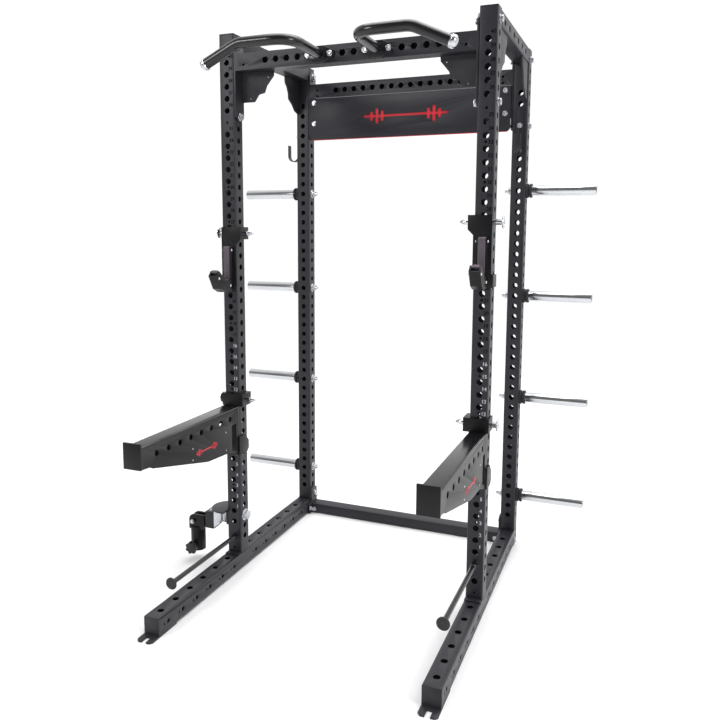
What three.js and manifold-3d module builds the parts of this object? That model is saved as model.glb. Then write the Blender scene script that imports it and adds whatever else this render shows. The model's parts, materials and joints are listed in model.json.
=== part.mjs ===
// Power cage: a four-post squat rack with J-cups, spotter arms, pull-up handles, storage pegs,
// band pegs, accessory hooks and a landmine. Millimetres, +Z up, +Y to the back, +X to the right.
// While it is being built, Y = 0 is the centre line of the front posts and Z = 0 is the floor.

import * as THREE from "three";
import { mergeVertices } from "three/addons/utils/BufferGeometryUtils.js";
import Module from "manifold-3d";

const wasm = await Module();
wasm.setup();

// ---------- driving dimensions ----------

const GAP = 0.3; // between pieces that touch
const POST_SPACING_X = 1125; // left post to right post, centre to centre
const POST_SPACING_Y = 750; // front post to rear post, centre to centre
const HEIGHT = 2400; // floor to the top of the post caps
const TUBE = 70; // square tube of posts, base and crossmembers
const WALL = 3;
const PLATE = 8; // bolted flanges and brackets
const PITCH = 50; // hole pitch
const HOLE_D = 25;
const HOLE_SIDES = 6;

const FOOT_HEIGHT = 7; // plates under the base beams
const FOOT_REACH = 52; // slotted foot in front of the base beam
const FOOT_LENGTH = 165;
const FOOT_SLOT = 20;
const BASE_OVERHANG = 660; // base beam in front of the front post centre
const BASE_HOLE_PITCH = 100;
const BASE_HOLES = 6; // on each side of the front post

const CAP_HEIGHT = 5;
const CAP_PLUG = 20;

const SIDE_HOLE_1 = 178; // lowest side hole above the base beam
const FRONT_HOLE_1 = 203; // front hole number 1 above the base beam
const LOW_HOLE = 78; // lowest large front hole above the base beam

const CROSS_TOP_DROP = 87; // post top to the top of the crossmembers
const CROSS_HOLES = 16;
const SIDE_BEAM_HEIGHT = 60;
const SIDE_BEAM_DROP = 6;
const LOWER_BEAM_HEIGHT = 50;
const LOWER_BEAM_CLEARANCE = 3;
const WEB = 6; // gusset webs

const PIN_CLEARANCE = 1; // pull pins in their holes
const PIN_D = HOLE_D - PIN_CLEARANCE;
const PIN_DISC_D = 52;
const PIN_DISC = 6;
const PIN_OUT = 66; // post centre to the disc, outwards
const PIN_IN = 101; // post centre to the tip, inwards
const PIN_TAPER = 26;

const EAR = 24.4; // block beside the post that takes the pin
const LEFT_CUP_HOLE = 26; // side hole that holds each accessory, counted from 0
const RIGHT_CUP_HOLE = 27;
const ARM_HOLE = 11;
const PEGS = 4; // storage pegs on each side
const PEG_HEADROOM = 6; // holes left free above the top peg, up to the hook
const HOOK_DROP = 223; // crossmember axis down to the side hole that holds the hook

const ARM_REACH = 742; // front post centre to the front of the arm
const ARM_PAD = 9.5;

const HANDLE_X = 125; // handle flange centre from the middle of the rack
const HANDLE_D = 42;
const HANDLE_FORWARD = 300; // grip line in front of the front post centre

const PEG_D = 50;
const PEG_WALL = 4;
const PEG_TIP = 915; // middle of the rack to the end of the storage pegs
const STOP_D = 68;
const STOP_LENGTH = 28;
const STUD_D = 20;
const STUD_INSIDE = 40; // stud past the inner face of the post

const BAND_PEG_D = 20;
const BAND_PEG_TIP = 530;
const BAND_DISC_D = 50;
const BAND_DISC = 6;

const SLEEVE_BORE = 52; // landmine sleeve
const SLEEVE_D = 70;

// ---------- derived places ----------

const POST_X = POST_SPACING_X / 2;
const HALF = TUBE / 2;
const INNER_X = POST_X - HALF;
const OUTER_X = POST_X + HALF;
const FRONT = -HALF; // front face of the front posts
const REAR_Y = POST_SPACING_Y;
const BACK = REAR_Y + HALF; // back face of the rear posts
const BASE_TOP = FOOT_HEIGHT + TUBE;
const POST_TOP = HEIGHT - CAP_HEIGHT;
const CROSS_Z = HEIGHT - CROSS_TOP_DROP - HALF;
const SIDE_BEAM_Z = HEIGHT - SIDE_BEAM_DROP - SIDE_BEAM_HEIGHT / 2;
const sideHole = (n) => BASE_TOP + SIDE_HOLE_1 + n * PITCH;
const frontHole = (n) => BASE_TOP + FRONT_HOLE_1 + (n - 1) * PITCH;
const LOW_HOLE_Z = BASE_TOP + LOW_HOLE;
const HOOK_HOLE = Math.round((CROSS_Z - HOOK_DROP - sideHole(0)) / PITCH);
const FLANGE_BOLT_Z = sideHole(HOOK_HOLE);
const PEG_STEP = Math.round((HOOK_HOLE - PEG_HEADROOM) / (PEGS - 1));
const PEG_HOLES = Array.from({ length: PEGS }, (_, n) => n * PEG_STEP);
const FLANGE_LOW = FLANGE_BOLT_Z - 18;

// ---------- materials ----------

const paint = new THREE.MeshStandardMaterial({ color: 0x35363b, roughness: 0.6, metalness: 0.3 });
const redPaint = new THREE.MeshStandardMaterial({ color: 0xb3202c, roughness: 0.5, metalness: 0.2 });
const chrome = new THREE.MeshStandardMaterial({ color: 0xd9dbde, roughness: 0.15, metalness: 1 });
const plastic = new THREE.MeshStandardMaterial({ color: 0x1b1b1d, roughness: 0.7, metalness: 0 });
const liner = new THREE.MeshStandardMaterial({ color: 0x55505a, roughness: 0.6, metalness: 0 });
const zinc = new THREE.MeshStandardMaterial({ color: 0xa4a6ab, roughness: 0.4, metalness: 0.8 });

// ---------- solids ----------

function solid(geometry) {
  geometry.deleteAttribute("normal");
  geometry.deleteAttribute("uv");
  const merged = mergeVertices(geometry, 1e-3);
  return new wasm.Manifold(new wasm.Mesh({
    numProp: 3,
    vertProperties: new Float32Array(merged.attributes.position.array),
    triVerts: new Uint32Array(merged.index.array),
  }));
}

// A box from two opposite corners, given in any order.
function box(a, b) {
  const size = a.map((value, i) => Math.abs(b[i] - value));
  const centre = a.map((value, i) => (b[i] + value) / 2);
  return solid(new THREE.BoxGeometry(...size).translate(...centre));
}

// A round bar between two places on one axis, with its own radius at each end.
function bar(axis, from, to, centre, startRadius, endRadius = startRadius, sides = 12) {
  const low = Math.min(from, to);
  const length = Math.abs(to - from);
  const [bottom, top] = to > from ? [startRadius, endRadius] : [endRadius, startRadius];
  const geometry = new THREE.CylinderGeometry(top, bottom, length, sides);
  geometry.rotateY(Math.PI / sides);
  if (axis === "x") geometry.rotateZ(-Math.PI / 2);
  if (axis === "z") geometry.rotateX(Math.PI / 2);
  const place = { x: 0, y: 0, z: 0, ...centre };
  place[axis] = low + length / 2;
  return solid(geometry.translate(place.x, place.y, place.z));
}

// A hole whose flats stand at its diameter, so that a round bar of less than that always passes.
function hole(axis, from, to, centre, diameter = HOLE_D) {
  const radius = diameter / 2 / Math.cos(Math.PI / HOLE_SIDES);
  return bar(axis, from, to, centre, radius, radius, HOLE_SIDES);
}

const PLANES = {
  yz: new THREE.Matrix4().makeBasis(
    new THREE.Vector3(0, 1, 0), new THREE.Vector3(0, 0, 1), new THREE.Vector3(1, 0, 0)),
  xz: new THREE.Matrix4().makeBasis(
    new THREE.Vector3(1, 0, 0), new THREE.Vector3(0, 0, 1), new THREE.Vector3(0, -1, 0)),
  xy: new THREE.Matrix4(),
};

// A flat plate with the outline drawn in a plane, between two places on the third axis.
function plate(plane, outline, from, to) {
  const shape = new THREE.Shape(outline.map(([u, v]) => new THREE.Vector2(u, v)));
  const depth = Math.abs(to - from);
  const geometry = new THREE.ExtrudeGeometry(shape, { depth, bevelEnabled: false, steps: 1 });
  const start = plane === "xz" ? -Math.max(from, to) : Math.min(from, to);
  return solid(geometry.translate(0, 0, start).applyMatrix4(PLANES[plane]));
}

const join = (...pieces) => pieces.reduce((whole, piece) => whole.add(piece));
const cut = (body, ...tools) => tools.reduce((left, tool) => left.subtract(tool), body);

// A rectangular tube with open ends.
function tube(axis, from, to, centre, height = TUBE) {
  const across = { x: [1, 2], y: [0, 2], z: [0, 1] }[axis];
  const along = { x: 0, y: 1, z: 2 }[axis];
  const corners = (wall, extra) => {
    const low = [0, 0, 0];
    const high = [0, 0, 0];
    across.forEach((i, n) => {
      const half = (n === 1 && axis !== "z" ? height : TUBE) / 2 - wall;
      low[i] = centre[n] - half;
      high[i] = centre[n] + half;
    });
    low[along] = from - extra;
    high[along] = to + extra;
    return [low, high];
  };
  return cut(box(...corners(0, 0)), box(...corners(WALL, 1)));
}

const cage = new THREE.Group();

function add(name, body, material) {
  const { vertProperties, triVerts } = body.getMesh();
  const geometry = new THREE.BufferGeometry();
  geometry.setAttribute("position", new THREE.BufferAttribute(vertProperties, 3));
  geometry.setIndex(new THREE.BufferAttribute(triVerts, 1));
  const mesh = new THREE.Mesh(geometry, material);
  mesh.name = name;
  cage.add(mesh);
}

const SIDES = [["left", -1], ["right", 1]];

// ---------- base beams, each with its welded feet ----------

function baseBeam(side) {
  const x = side * POST_X;
  const front = -BASE_OVERHANG;
  const centre = [x, FOOT_HEIGHT + HALF];
  const holes = [];
  for (let n = 1; n <= BASE_HOLES; n++) {
    for (const y of [-n * BASE_HOLE_PITCH, n * BASE_HOLE_PITCH]) {
      holes.push(hole("z", BASE_TOP - HALF, BASE_TOP + 1, { x, y }));
    }
  }
  const tip = front - FOOT_REACH;
  const foot = plate("xy", [
    [x - HALF, tip + 10], [x - HALF + 10, tip], [x - FOOT_SLOT / 2, tip],
    [x - FOOT_SLOT / 2, tip + 34], [x + FOOT_SLOT / 2, tip + 34],
    [x + FOOT_SLOT / 2, tip], [x + HALF - 10, tip], [x + HALF, tip + 10],
    [x + HALF, tip + FOOT_LENGTH], [x - HALF, tip + FOOT_LENGTH],
  ], 0, FOOT_HEIGHT);
  return cut(join(
    tube("y", front, BACK, centre),
    box([x - HALF, front, FOOT_HEIGHT], [x + HALF, front + WALL, BASE_TOP]),
    box([x - HALF, BACK - WALL, FOOT_HEIGHT], [x + HALF, BACK, BASE_TOP]),
    box([x - HALF, BACK - TUBE, 0], [x + HALF, BACK, FOOT_HEIGHT]),
    foot,
  ), ...holes);
}

for (const [name, side] of SIDES) add(`${name}_base_beam`, baseBeam(side), paint);

// ---------- posts and their caps ----------

// The side holes that this model uses: those of the pins, over their whole travel, and of the bolts.
const PIN_HOLES = {
  left: [...Array(7).keys()].map((n) => n + 6).concat([...Array(13).keys()].map((n) => n + 23)),
  right: [...Array(13).keys()].map((n) => n + 5).concat([...Array(13).keys()].map((n) => n + 23)),
};

function post(x, y, sideHoles, frontHoles) {
  const across = sideHoles.map((n) => hole("x", x - HALF - 1, x + HALF + 1, { y, z: sideHole(n) }));
  const ahead = frontHoles.map((z) => hole("y", y - HALF - 1, y, { x, z }));
  return cut(tube("z", BASE_TOP + GAP, POST_TOP - GAP, [x, y]), ...across, ...ahead);
}

function postCap(x, y) {
  const plug = HALF - WALL - GAP;
  return join(
    box([x - HALF, y - HALF, POST_TOP], [x + HALF, y + HALF, HEIGHT]),
    box([x - plug, y - plug, POST_TOP - CAP_PLUG], [x + plug, y + plug, POST_TOP]),
  );
}

const BAND_PEG_Z = { left: LOW_HOLE_Z, right: frontHole(0) };

for (const [name, side] of SIDES) {
  const x = side * POST_X;
  const landmineHoles = side < 0 ? [0] : [];
  add(`${name}_front_post`, post(x, 0, [...landmineHoles, ...PIN_HOLES[name]], [BAND_PEG_Z[name]]), paint);
  const hookHoles = side < 0 ? [HOOK_HOLE] : [];
  const hookFront = side < 0 ? [] : [sideHole(HOOK_HOLE)];
  add(`${name}_rear_post`, post(x, REAR_Y, [...PEG_HOLES, ...hookHoles], hookFront), paint);
  add(`${name}_front_cap`, postCap(x, 0), plastic);
  add(`${name}_rear_cap`, postCap(x, REAR_Y), plastic);
}

// ---------- top crossmembers with their welded end flanges ----------

// The flange against the inner face of a post, tapered at both ends round its bolts.
function endFlange(side, y, low, high) {
  const taper = 22;
  return plate("yz", [
    [y - HALF + taper, low], [y + HALF - taper, low], [y + HALF, low + taper],
    [y + HALF, high - taper], [y + HALF - taper, high], [y - HALF + taper, high],
    [y - HALF, high - taper], [y - HALF, low + taper],
  ], side * (INNER_X - GAP), side * (INNER_X - GAP - PLATE));
}

// The wavy web under the end of the front crossmember.
// The web under each end stands near the tube's rear face.
function crossWeb(side, y) {
  const outer = INNER_X - GAP - 1;
  const top = CROSS_Z - HALF + 1;
  const outline = [
    [outer, top], [INNER_X - 163, top], [INNER_X - 161, top - 21], [INNER_X - 128, top - 60],
    [INNER_X - 117, top - 89], [INNER_X - 89, top - 95], [INNER_X - 68, top - 125],
    [outer, top - 125],
  ];
  return plate("xz", outline.map(([u, v]) => [side * u, v]), y + HALF - 6 - WEB, y + HALF - 6);
}

function crossHoles(y) {
  const holes = [];
  for (let n = 0; n < CROSS_HOLES; n++) {
    const x = (n - (CROSS_HOLES - 1) / 2) * PITCH;
    holes.push(hole("y", y - HALF - 1, y, { x, z: CROSS_Z }));
  }
  return holes;
}

function crossBeam(y) {
  return tube("x", -INNER_X + GAP + 1, INNER_X - GAP - 1, [y, CROSS_Z]);
}

const FLANGE_TOP = sideHole(HOOK_HOLE + 6) + 24;

add("front_crossmember", cut(join(
  crossBeam(0),
  ...[-1, 1].flatMap((side) => [endFlange(side, 0, FLANGE_LOW, FLANGE_TOP), crossWeb(side, 0)]),
), ...crossHoles(0)), paint);

// The rear crossmember's flanges also carry two tabs that hold the name plate.
const PLATE_BOLT_X = 493;
const NAME_TOP = CROSS_Z - HALF - 4;
const NAME_LOW = NAME_TOP - 208;
const NAME_HALF_WIDTH = 519;
const NAME_THICKNESS = 4;
const BACKING_THICKNESS = 3;
const TAB_FRONT = REAR_Y - HALF;

function nameTab(side) {
  const outer = side * (INNER_X - GAP - 1);
  return box([outer, TAB_FRONT, NAME_LOW + 60], [side * (PLATE_BOLT_X - 22), TAB_FRONT + WEB, NAME_TOP]);
}

add("rear_crossmember", cut(join(
  crossBeam(REAR_Y),
  ...[-1, 1].flatMap((side) => [endFlange(side, REAR_Y, FLANGE_LOW, FLANGE_TOP), nameTab(side)]),
), ...crossHoles(REAR_Y)), paint);

// ---------- side beams with a web at each end, near the outer face ----------

function sideBeam(side) {
  const x = side * POST_X;
  const front = HALF + GAP;
  const back = REAR_Y - HALF - GAP;
  const low = SIDE_BEAM_Z - SIDE_BEAM_HEIGHT / 2;
  const face = side * (OUTER_X - 6);
  const web = (start, toward) => plate("yz", [
    [start, low + 1], [start + toward * 152, low + 1], [start + toward * 149, low - 30],
    [start + toward * 129, low - 50], [start + toward * 114, low - 78],
    [start + toward * 111, low - 106], [start + toward * 73, low - 128],
    [start + toward * 44, low - 156], [start, low - 170],
  ], face - side * WEB, face);
  const holes = [];
  for (let n = 1; n <= 6; n++) {
    holes.push(hole("x", side * (OUTER_X - HALF), side * (OUTER_X + 1),
      { y: n * BASE_HOLE_PITCH, z: SIDE_BEAM_Z }));
  }
  return cut(join(
    tube("y", front, back, [x, SIDE_BEAM_Z], SIDE_BEAM_HEIGHT),
    web(front, 1),
    web(back, -1),
  ), ...holes);
}

for (const [name, side] of SIDES) add(`${name}_side_beam`, sideBeam(side), paint);

// ---------- lower crossmember ----------

function lowerFlange(side) {
  const front = BACK - TUBE - 28;
  return plate("yz", [
    [front, LOWER_BEAM_CLEARANCE], [BACK, LOWER_BEAM_CLEARANCE], [BACK, 128],
    [BACK - 28, 142], [BACK - TUBE + 8, 142], [BACK - TUBE, 128],
    [BACK - TUBE, 62], [front, 50],
  ], side * (INNER_X - GAP), side * (INNER_X - GAP - PLATE));
}

const lowerBeamZ = LOWER_BEAM_CLEARANCE + LOWER_BEAM_HEIGHT / 2;
add("lower_crossmember", cut(join(
  tube("x", -INNER_X + GAP + 1, INNER_X - GAP - 1, [REAR_Y, lowerBeamZ], LOWER_BEAM_HEIGHT),
  lowerFlange(-1),
  lowerFlange(1),
), hole("x", -INNER_X, INNER_X, { y: REAR_Y, z: lowerBeamZ })), paint);

// ---------- name plate and its red backing ----------

function roundedPanel(halfWidth, low, high, radius, from, to) {
  const outline = [[-halfWidth, high], [-halfWidth, low + radius]];
  for (const [cx, start] of [[-halfWidth + radius, Math.PI], [halfWidth - radius, 1.5 * Math.PI]]) {
    for (let n = 1; n <= 4; n++) {
      const angle = start + (n * Math.PI) / 8;
      outline.push([cx + radius * Math.cos(angle), low + radius + radius * Math.sin(angle)]);
    }
  }
  outline.push([halfWidth, high]);
  return plate("xz", outline, from, to);
}

const backingFront = TAB_FRONT - GAP - BACKING_THICKNESS;
const nameFront = backingFront - GAP - NAME_THICKNESS;
add("name_plate", roundedPanel(NAME_HALF_WIDTH, NAME_LOW, NAME_TOP, 22,
  nameFront, nameFront + NAME_THICKNESS), paint);
add("name_plate_backing", roundedPanel(NAME_HALF_WIDTH - 4, NAME_LOW - 3, NAME_TOP - 2, 20,
  backingFront, backingFront + BACKING_THICKNESS), redPaint);

// ---------- pull-up handles ----------

// The grip leaves its flange forwards, turns outwards and then slopes down to its end.
function handlePath(side) {
  const bend = 90;
  const start = FRONT - GAP - 2;
  const line = -HANDLE_FORWARD;
  const point = (u, y, z) => new THREE.Vector3(side * u, y, CROSS_Z + z);
  const route = new THREE.CurvePath();
  route.add(new THREE.LineCurve3(point(HANDLE_X, start, 0), point(HANDLE_X, line + bend, 5)));
  route.add(new THREE.QuadraticBezierCurve3(
    point(HANDLE_X, line + bend, 5), point(HANDLE_X, line, 7), point(HANDLE_X + bend, line, 7)));
  route.add(new THREE.LineCurve3(point(HANDLE_X + bend, line, 7), point(322, line, 7)));
  route.add(new THREE.QuadraticBezierCurve3(
    point(322, line, 7), point(347, line, 7), point(370, line, -3.5)));
  route.add(new THREE.LineCurve3(point(370, line, -3.5), point(490, line, -58.5)));
  return route;
}

function circleShape(radius, sides) {
  const points = [];
  for (let n = 0; n < sides; n++) {
    const angle = (2 * Math.PI * n) / sides;
    points.push(new THREE.Vector2(radius * Math.cos(angle), radius * Math.sin(angle)));
  }
  return new THREE.Shape(points);
}

for (const [name, side] of SIDES) {
  const path = handlePath(side);
  const grip = solid(new THREE.ExtrudeGeometry(circleShape(HANDLE_D / 2, 10),
    { extrudePath: path, steps: 20, bevelEnabled: false }));
  const cx = side * HANDLE_X;
  const flange = plate("xz", [
    [cx - 66, CROSS_Z + 9], [cx - 66, CROSS_Z - 9], [cx - 58, CROSS_Z - 16],
    [cx - 18, CROSS_Z - 33], [cx + 18, CROSS_Z - 33], [cx + 58, CROSS_Z - 16],
    [cx + 66, CROSS_Z - 9], [cx + 66, CROSS_Z + 9], [cx + 58, CROSS_Z + 16],
    [cx + 18, CROSS_Z + 33], [cx - 18, CROSS_Z + 33], [cx - 58, CROSS_Z + 16],
  ], FRONT - GAP - PLATE, FRONT - GAP);
  add(`${name}_pullup_handle`, join(grip, flange), paint);

  const end = path.getPoint(1);
  const heading = path.getTangent(1);
  const profile = [[0, 0], [24, 0], [25, 3], [24, 14], [18, 22], [0, 26]];
  const cap = new THREE.LatheGeometry(profile.map(([r, h]) => new THREE.Vector2(r, h)), 16);
  const mesh = new THREE.Quaternion().setFromUnitVectors(new THREE.Vector3(0, 1, 0), heading);
  const place = end.clone().addScaledVector(heading, GAP);
  cap.applyMatrix4(new THREE.Matrix4().compose(place, mesh, new THREE.Vector3(1, 1, 1)));
  add(`${name}_handle_cap`, solid(cap), chrome);
}

// ---------- pull pins ----------

function pullPin(side, z) {
  const at = (u) => side * (POST_X + u);
  const centre = { y: 0, z };
  return join(
    bar("x", at(-PIN_IN + PIN_TAPER), at(PIN_OUT + 1), centre, PIN_D / 2),
    bar("x", at(-PIN_IN), at(-PIN_IN + PIN_TAPER + 0.5), centre, 5, PIN_D / 2),
    bar("x", at(PIN_OUT), at(PIN_OUT + PIN_DISC), centre, PIN_DISC_D / 2),
  );
}

// ---------- J-cups ----------

// The J drawn in Y and Z from the pin's height, forward of the post's front face.
const CUP_PLATE_FRONT = FRONT - GAP - PLATE;
const CUP_LOW = -250;
const CHEEK = 7;
const LINER_HALF = 14.7;
const TROUGH_BACK = [-62, -203];
const TROUGH_FRONT = [-104, -203];
const LIP_TOP = [-157, -160];

function jCup(side, z) {
  const at = (u) => side * (POST_X + u);
  const ear = HALF + GAP + EAR;
  const face = plate("xz", [
    [at(-ear), z + 27], [at(HALF), z + 27], [at(HALF), z - 196],
    [at(HALF + GAP + PLATE), z - 202], [at(HALF + GAP + PLATE), z + CUP_LOW],
    [at(-38), z + CUP_LOW], [at(-38), z - 50], [at(-ear), z - 28],
  ], CUP_PLATE_FRONT, FRONT - GAP);
  const innerEar = cut(
    box([at(-ear), CUP_PLATE_FRONT, z - 27], [at(-HALF - GAP), 28, z + 27]),
    hole("x", at(-ear - 1), at(-HALF), { y: 0, z }),
  );
  const tab = box([at(HALF + GAP), CUP_PLATE_FRONT, z - 202],
    [at(HALF + GAP + PLATE), 24, z + CUP_LOW]);
  const outline = [
    [CUP_PLATE_FRONT + 1, -58], [-62, -63], TROUGH_BACK, TROUGH_FRONT, LIP_TOP,
    [-175, -181], [-142, -238], [-107, -254], [CUP_PLATE_FRONT + 1, CUP_LOW],
  ].map(([y, dz]) => [y, z + dz]);
  const cheeks = [-1, 1].map((edge) => plate("yz", outline,
    at(edge * (LINER_HALF + GAP)), at(edge * (LINER_HALF + GAP + CHEEK))));
  const front = plate("yz", [
    [-175, -181], [-142, -238], [-107, -254], [CUP_PLATE_FRONT + 1, CUP_LOW],
    [CUP_PLATE_FRONT + 1, CUP_LOW + 8], [-105, -246], [-137, -231], [-168, -178],
  ].map(([y, dz]) => [y, z + dz]), at(-LINER_HALF - GAP - 1), at(LINER_HALF + GAP + 1));
  return join(face, innerEar, tab, front, ...cheeks);
}

function cupBackLiner(side, z) {
  const at = (u) => side * (POST_X + u);
  return plate("yz", [
    [CUP_PLATE_FRONT - GAP, -56], [-60, -56], [-65, -62], [-65, -198], [CUP_PLATE_FRONT - GAP, -198],
  ].map(([y, dz]) => [y, z + dz]), at(-LINER_HALF), at(LINER_HALF));
}

function cupLipLiner(side, z) {
  const at = (u) => side * (POST_X + u);
  return plate("yz", [
    [CUP_PLATE_FRONT - GAP, -198.5], [-103, -198.5], [-156, -156], [-165, -166],
    [-109, -212], [CUP_PLATE_FRONT - GAP, -212],
  ].map(([y, dz]) => [y, z + dz]), at(-LINER_HALF), at(LINER_HALF));
}

const CUP_Z = { left: sideHole(LEFT_CUP_HOLE), right: sideHole(RIGHT_CUP_HOLE) };

for (const [name, side] of SIDES) {
  const z = CUP_Z[name];
  add(`${name}_j_cup`, jCup(side, z), paint);
  add(`${name}_cup_back_liner`, cupBackLiner(side, z), liner);
  add(`${name}_cup_lip_liner`, cupLipLiner(side, z), liner);
  add(`${name}_cup_pin`, pullPin(side, z), chrome);
}

// ---------- spotter arms ----------

// Heights are from the pin. The arm is a channel of two side plates under a top plate.
const ARM_PLATE_FRONT = FRONT - GAP - 12;
const ARM_TOP = -32;
const ARM_LOW = -100;
const ARM_EAR_TOP = 31;

function spotterArm(side, z) {
  const at = (u) => side * (POST_X + u);
  const innerEar = HALF + GAP + EAR;
  const outerEar = HALF + GAP + PLATE;
  const tip = -ARM_REACH + PLATE;
  const face = box([at(-innerEar), ARM_PLATE_FRONT, z - 25], [at(outerEar), FRONT - GAP, z + ARM_EAR_TOP]);
  const ears = cut(join(
    box([at(-innerEar), ARM_PLATE_FRONT, z - 25], [at(-HALF - GAP), 30, z + ARM_EAR_TOP]),
    box([at(HALF + GAP), ARM_PLATE_FRONT, z - 25], [at(outerEar), 30, z + ARM_EAR_TOP]),
    face,
  ), hole("x", at(-innerEar - 1), at(outerEar + 1), { y: 0, z }));
  const spine = box([at(-HALF), ARM_PLATE_FRONT, z - 252], [at(HALF), FRONT - GAP, z - 24]);
  const outline = [
    [tip - 1, ARM_TOP], [ARM_PLATE_FRONT + 1, ARM_TOP], [ARM_PLATE_FRONT + 1, -252],
    [-125, -222], [-151, -218], [-293, -209], [-664, -122], [-684, -112], [tip - 1, -108],
  ].map(([y, dz]) => [y, z + dz]);
  const opening = [[-100, -100], [-62, -100], [-62, -226], [-100, -216]].map(([y, dz]) => [y, z + dz]);
  const sidePlates = [-1, 1].map((edge) => plate("yz", outline, at(edge * (HALF - WEB)), at(edge * HALF)));
  const gap = plate("yz", opening, at(-HALF - 1), at(HALF + 1));
  const top = box([at(-HALF), tip - 1, z + ARM_TOP - WEB], [at(HALF), ARM_PLATE_FRONT + 1, z + ARM_TOP]);
  const end = box([at(-HALF - 4), -ARM_REACH, z - 108], [at(HALF + 4), tip, z - 8]);
  const lowerEars = [-1, 1].map((edge) => plate("yz", [
    [ARM_PLATE_FRONT, -165], [0, -165], [34, -200], [34, -236], [18, -252], [ARM_PLATE_FRONT, -252],
  ].map(([y, dz]) => [y, z + dz]), at(edge * (HALF + GAP)), at(edge * outerEar)));
  const lowerFace = box([at(-outerEar), ARM_PLATE_FRONT, z - 252], [at(outerEar), FRONT - GAP, z - 165]);
  const holes = [];
  for (let n = 0; n < 8; n++) {
    holes.push(bar("x", at(-HALF - 1), at(HALF + 1), { y: -115 - 75 * n, z: z - 68 },
      HOLE_D / 2, HOLE_D / 2, 20));
  }
  return cut(join(ears, spine, top, end, lowerFace, ...sidePlates, ...lowerEars), gap, ...holes);
}

function armPad(side, z) {
  const at = (u) => side * (POST_X + u);
  const low = z + ARM_TOP + GAP;
  const high = low + ARM_PAD;
  const edge = 5;
  const outline = [
    [at(-HALF), low], [at(HALF), low], [at(HALF), high - edge], [at(HALF - edge), high],
    [at(-HALF + edge), high], [at(-HALF), high - edge],
  ];
  return plate("xz", outline, -ARM_REACH + PLATE + GAP, ARM_PLATE_FRONT - GAP);
}

const ARM_Z = sideHole(ARM_HOLE);

for (const [name, side] of SIDES) {
  add(`${name}_spotter_arm`, spotterArm(side, ARM_Z), paint);
  add(`${name}_arm_pad`, armPad(side, ARM_Z), plastic);
  add(`${name}_arm_pin`, pullPin(side, ARM_Z), chrome);
}

// ---------- weight storage pegs and their stops ----------

function storagePeg(side, z) {
  const centre = { y: REAR_Y, z };
  const tip = side * PEG_TIP;
  const root = side * (OUTER_X + GAP);
  return cut(
    join(
      bar("x", root, tip, centre, PEG_D / 2, PEG_D / 2, 14),
      bar("x", side * (INNER_X - STUD_INSIDE), root + side, centre, STUD_D / 2, STUD_D / 2, 12),
    ),
    bar("x", root + side * 12, tip + side, centre, PEG_D / 2 - PEG_WALL, PEG_D / 2 - PEG_WALL, 14),
  );
}

// A rubber ring at the root of a peg.
function pegStop(side, z) {
  const sides = 14;
  const inner = (PEG_D / 2 + GAP) / Math.cos(Math.PI / sides);
  const outer = STOP_D / 2;
  const profile = [[inner, 0], [outer, 0], [outer, STOP_LENGTH], [inner, STOP_LENGTH], [inner, 0]];
  const ring = new THREE.LatheGeometry(profile.map(([r, h]) => new THREE.Vector2(r, h)), sides);
  ring.rotateZ(-side * Math.PI / 2);
  return solid(ring.translate(side * (OUTER_X + GAP), REAR_Y, z));
}

for (const [name, side] of SIDES) {
  PEG_HOLES.forEach((n, i) => {
    add(`${name}_storage_peg_${i + 1}`, storagePeg(side, sideHole(n)), chrome);
    add(`${name}_peg_stop_${i + 1}`, pegStop(side, sideHole(n)), plastic);
  });
}

// ---------- band pegs ----------

for (const [name, side] of SIDES) {
  const centre = { x: side * POST_X, z: BAND_PEG_Z[name] };
  add(`${name}_band_peg`, join(
    bar("y", FRONT + 20, -BAND_PEG_TIP + 1, centre, BAND_PEG_D / 2, BAND_PEG_D / 2, 12),
    bar("y", FRONT - GAP - 6, FRONT - GAP, centre, BAND_PEG_D / 2 + 7),
    bar("y", FRONT - 38, FRONT - GAP, centre, BAND_PEG_D / 2 + 2),
    bar("y", -BAND_PEG_TIP, -BAND_PEG_TIP + BAND_DISC, centre, BAND_DISC_D / 2),
  ), paint);
}

// ---------- accessory hooks ----------

// A bent strip: u runs away from the post face and v is the height above the bolt.
const HOOK_STRIP = 5;
const HOOK_WIDTH = 30;
const HOOK_REACH = 62;

function hookOutline() {
  const top = 82;
  const centre = HOOK_REACH / 2;
  const outer = HOOK_REACH / 2;
  const inner = outer - HOOK_STRIP;
  const low = -100;
  const outline = [[0, top]];
  for (let n = 0; n <= 8; n++) {
    const angle = Math.PI + (n * Math.PI) / 8;
    outline.push([centre + outer * Math.cos(angle), low + outer * Math.sin(angle)]);
  }
  outline.push([HOOK_REACH, low + 56], [HOOK_REACH - HOOK_STRIP, low + 56]);
  for (let n = 8; n >= 0; n--) {
    const angle = Math.PI + (n * Math.PI) / 8;
    outline.push([centre + inner * Math.cos(angle), low + inner * Math.sin(angle)]);
  }
  outline.push([HOOK_STRIP, top]);
  return outline;
}

const HOOK_Z = sideHole(HOOK_HOLE);
const outward = hookOutline().map(([u, v]) => [-OUTER_X - GAP - u, HOOK_Z + v]);
add("left_accessory_hook", plate("xz", outward, REAR_Y - HOOK_WIDTH / 2, REAR_Y + HOOK_WIDTH / 2), paint);
const forward = hookOutline().map(([u, v]) => [REAR_Y - HALF - GAP - u, HOOK_Z + v]);
add("right_accessory_hook", plate("yz", forward, POST_X - HOOK_WIDTH / 2, POST_X + HOOK_WIDTH / 2), paint);

// ---------- landmine on the outside of the left front post ----------

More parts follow.
